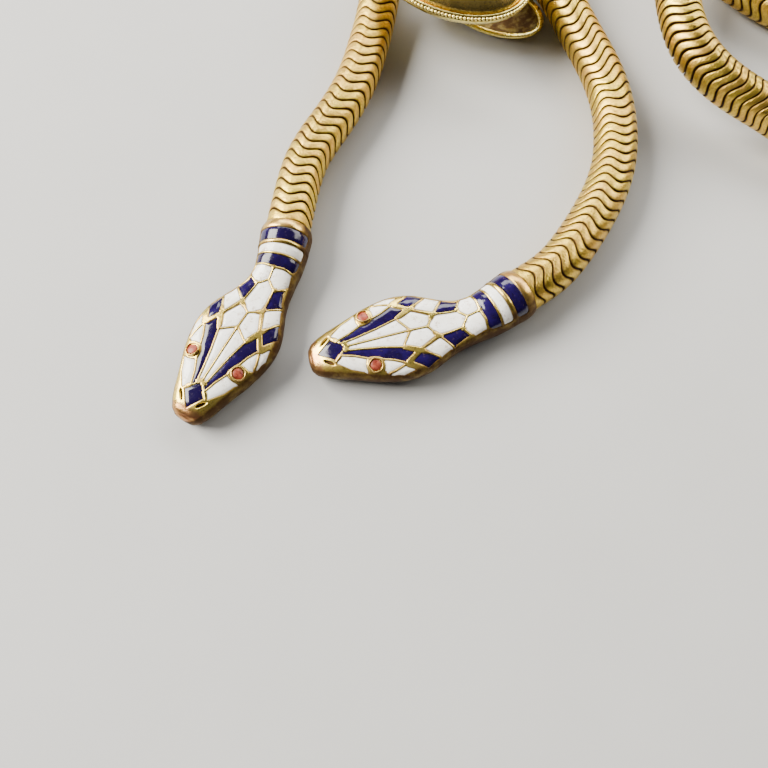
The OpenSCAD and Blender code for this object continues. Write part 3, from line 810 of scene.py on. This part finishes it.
def enamel(name, deep, light, worn, patch, rough):
    material, n, shader = new_material(name)
    cloud = n.noise(430, 5, 0.6)
    mottle = n.noise(1100, 6, 0.75)
    specks = n.noise(2600, 3, 0.6)
    colour = n.mix(n.ramp(cloud, *patch), deep, light)
    colour = n.mix(n.ramp(mottle, 0.54, 0.68, 0.0, 0.8), colour, worn)
    edge = n.ramp(n.attribute("depth").outputs["Fac"], 0.02, 0.11, 0.85, 0.0)
    colour = n.mix(edge, colour, tuple(0.3 * c for c in worn))
    colour = n.mix(n.ramp(specks, 0.62, 0.78, 0.0, 0.5), colour, ENAMEL_DIRT)
    n.link(colour, shader.inputs["Base Color"])
    n.link(n.ramp(specks, 0.35, 0.7, *rough), shader.inputs["Roughness"])
    shader.inputs["Specular IOR Level"].default_value = 0.35
    shader.inputs["Coat Weight"].default_value = 0.25
    shader.inputs["Coat Roughness"].default_value = 0.14
    normal = n.bump(cloud, 0.15, 0.0002)
    n.link(normal, shader.inputs["Normal"])
    return material


def coral(name):
    material, n, shader = new_material(name)
    cloud = n.noise(1500, 5, 0.65)
    colour = n.mix(n.ramp(cloud, 0.35, 0.65), (0.12, 0.015, 0.01), (0.38, 0.08, 0.045))
    n.link(colour, shader.inputs["Base Color"])
    n.link(n.ramp(cloud, 0.3, 0.7, 0.2, 0.45), shader.inputs["Roughness"])
    shader.inputs["Specular IOR Level"].default_value = 0.3
    n.link(n.bump(cloud, 0.4, 0.0001), shader.inputs["Normal"])
    return material


def pale_floor():
    material, n, shader = new_material("pale_floor")
    colour = n.mix(n.noise(60, 5, 0.6), (0.42, 0.42, 0.415), (0.46, 0.46, 0.455))
    n.link(colour, shader.inputs["Base Color"])
    shader.inputs["Roughness"].default_value = 0.75
    return material


materials = {
    "chain_gilt": gilt("chain_gilt", (0.94, 0.72, 0.08), (0.84, 0.58, 0.06), (0.82, 0.43, 0.12),
                       (0.26, 0.42), ("grime_and_shade", "tone", "flow")),
    "head_metal": gilt("head_metal", (0.88, 0.70, 0.16), (0.74, 0.54, 0.11), (0.66, 0.36, 0.13),
                       (0.22, 0.38), ("grime_and_shade", "wear", "edge")),
    "collet_metal": gilt("collet_metal", (0.72, 0.50, 0.14), (0.56, 0.36, 0.09), (0.50, 0.24, 0.10),
                         (0.2, 0.36)),
    "slide_metal": gilt("slide_metal", (0.97, 0.84, 0.28), (0.88, 0.72, 0.18), (0.68, 0.46, 0.13),
                        (0.18, 0.34), ("grime_and_shade",)),
    "inner_metal": gilt("inner_metal", (0.97, 0.84, 0.30), (0.88, 0.72, 0.20), (0.68, 0.46, 0.14),
                        (0.18, 0.32)),
    "dome_metal": gilt("dome_metal", (0.85, 0.62, 0.17), (0.64, 0.43, 0.10), (0.50, 0.28, 0.08),
                       (0.16, 0.3), grain=0.1),
    "white_enamel": enamel("white_enamel", (0.88, 0.86, 0.79), (0.95, 0.94, 0.90), (0.42, 0.29, 0.19),
                           (0.4, 0.6), (0.12, 0.24)),
    "blue_enamel": enamel("blue_enamel", (0.005, 0.001, 0.028), (0.012, 0.003, 0.075), (0.003, 0.001, 0.012),
                          (0.45, 0.75), (0.08, 0.2)),
    "eye_stone": coral("eye_stone"),
}



def away_from(heading):
    """The way in which a run leaves a head of this heading."""
    return -np.array([np.cos(np.radians(heading)), np.sin(np.radians(heading)), 0])


# Build
left_line = Line(LEFT_ROUTE, away_from(LEFT_HEADING), (0, 1, 0))
right_line = Line(RIGHT_ROUTE, away_from(RIGHT_HEADING), (0, -1, 0))
gilt_chain = materials["chain_gilt"]
chain_piece("chain_left_run_links", left_line, LEFT_PITCH, LEFT_TWIST, LEFT_LEAN, gilt_chain)
chain_piece("chain_right_run_links", right_line, RIGHT_PITCH, RIGHT_TWIST, RIGHT_LEAN, gilt_chain)
head = Head()
build_head("left", LEFT_ROUTE[0], LEFT_HEADING, head, materials)
build_head("right", RIGHT_ROUTE[0], RIGHT_HEADING, head, materials)
build_slide(materials)

# Floor, camera, light
CAMERA_AT = (-16.16, -93.28, 91.15)
CAMERA_TILT = np.radians(20)
bpy.ops.mesh.primitive_plane_add(size=4.0, location=(0, 0, 0))
floor = bpy.context.object
floor.name = "floor"
floor.data.materials.append(pale_floor())

camera_data = bpy.data.cameras.new("camera")
camera_data.sensor_width = 36
camera_data.lens = 36
camera_data.clip_start = 0.005
camera = bpy.data.objects.new("camera", camera_data)
bpy.context.scene.collection.objects.link(camera)
camera.location = Vector(CAMERA_AT) * MM
camera.rotation_euler = (CAMERA_TILT, 0, 0)
bpy.context.scene.camera = camera


def area_light(name, place, aim, size, power, colour):
    data = bpy.data.lights.new(name, "AREA")
    data.shape = "RECTANGLE"
    data.size, data.size_y = size
    data.energy = power
    data.color = colour
    light = bpy.data.objects.new(name, data)
    bpy.context.scene.collection.objects.link(light)
    light.location = place
    light.rotation_euler = (Vector(aim) - Vector(place)).to_track_quat("-Z", "Y").to_euler()


area_light("key", (-0.60, 0.12, 0.45), (0, -0.03, 0), (0.55, 0.5), 26.0, (1.0, 0.96, 0.88))
area_light("top", (0.02, 0.46, 0.34), (0, -0.02, 0), (0.6, 0.22), 4.6, (1.0, 0.99, 0.96))
area_light("side", (0.50, 0.24, 0.34), (0, -0.03, 0), (0.4, 0.35), 3.8, (1.0, 0.96, 0.88))

# A dim sky that is brighter on the side of the key light
world = bpy.data.worlds.new("studio")
world.use_nodes = True
bpy.context.scene.world = world
nodes = Nodes(world.node_tree)
direction = nodes.add("ShaderNodeTexCoord").outputs["Generated"]
slant = nodes.add("ShaderNodeVectorMath", operation="DOT_PRODUCT")
nodes.link(direction, slant.inputs[0])
slant.inputs[1].default_value = (-0.30, 0.40, 0.87)
sky = nodes.mix(nodes.ramp(slant.outputs["Value"], 0.0, 1.0), (0.10, 0.10, 0.105), (0.30, 0.30, 0.30))
background = world.node_tree.nodes["Background"]
nodes.link(sky, background.inputs["Color"])
background.inputs["Strength"].default_value = 0.55
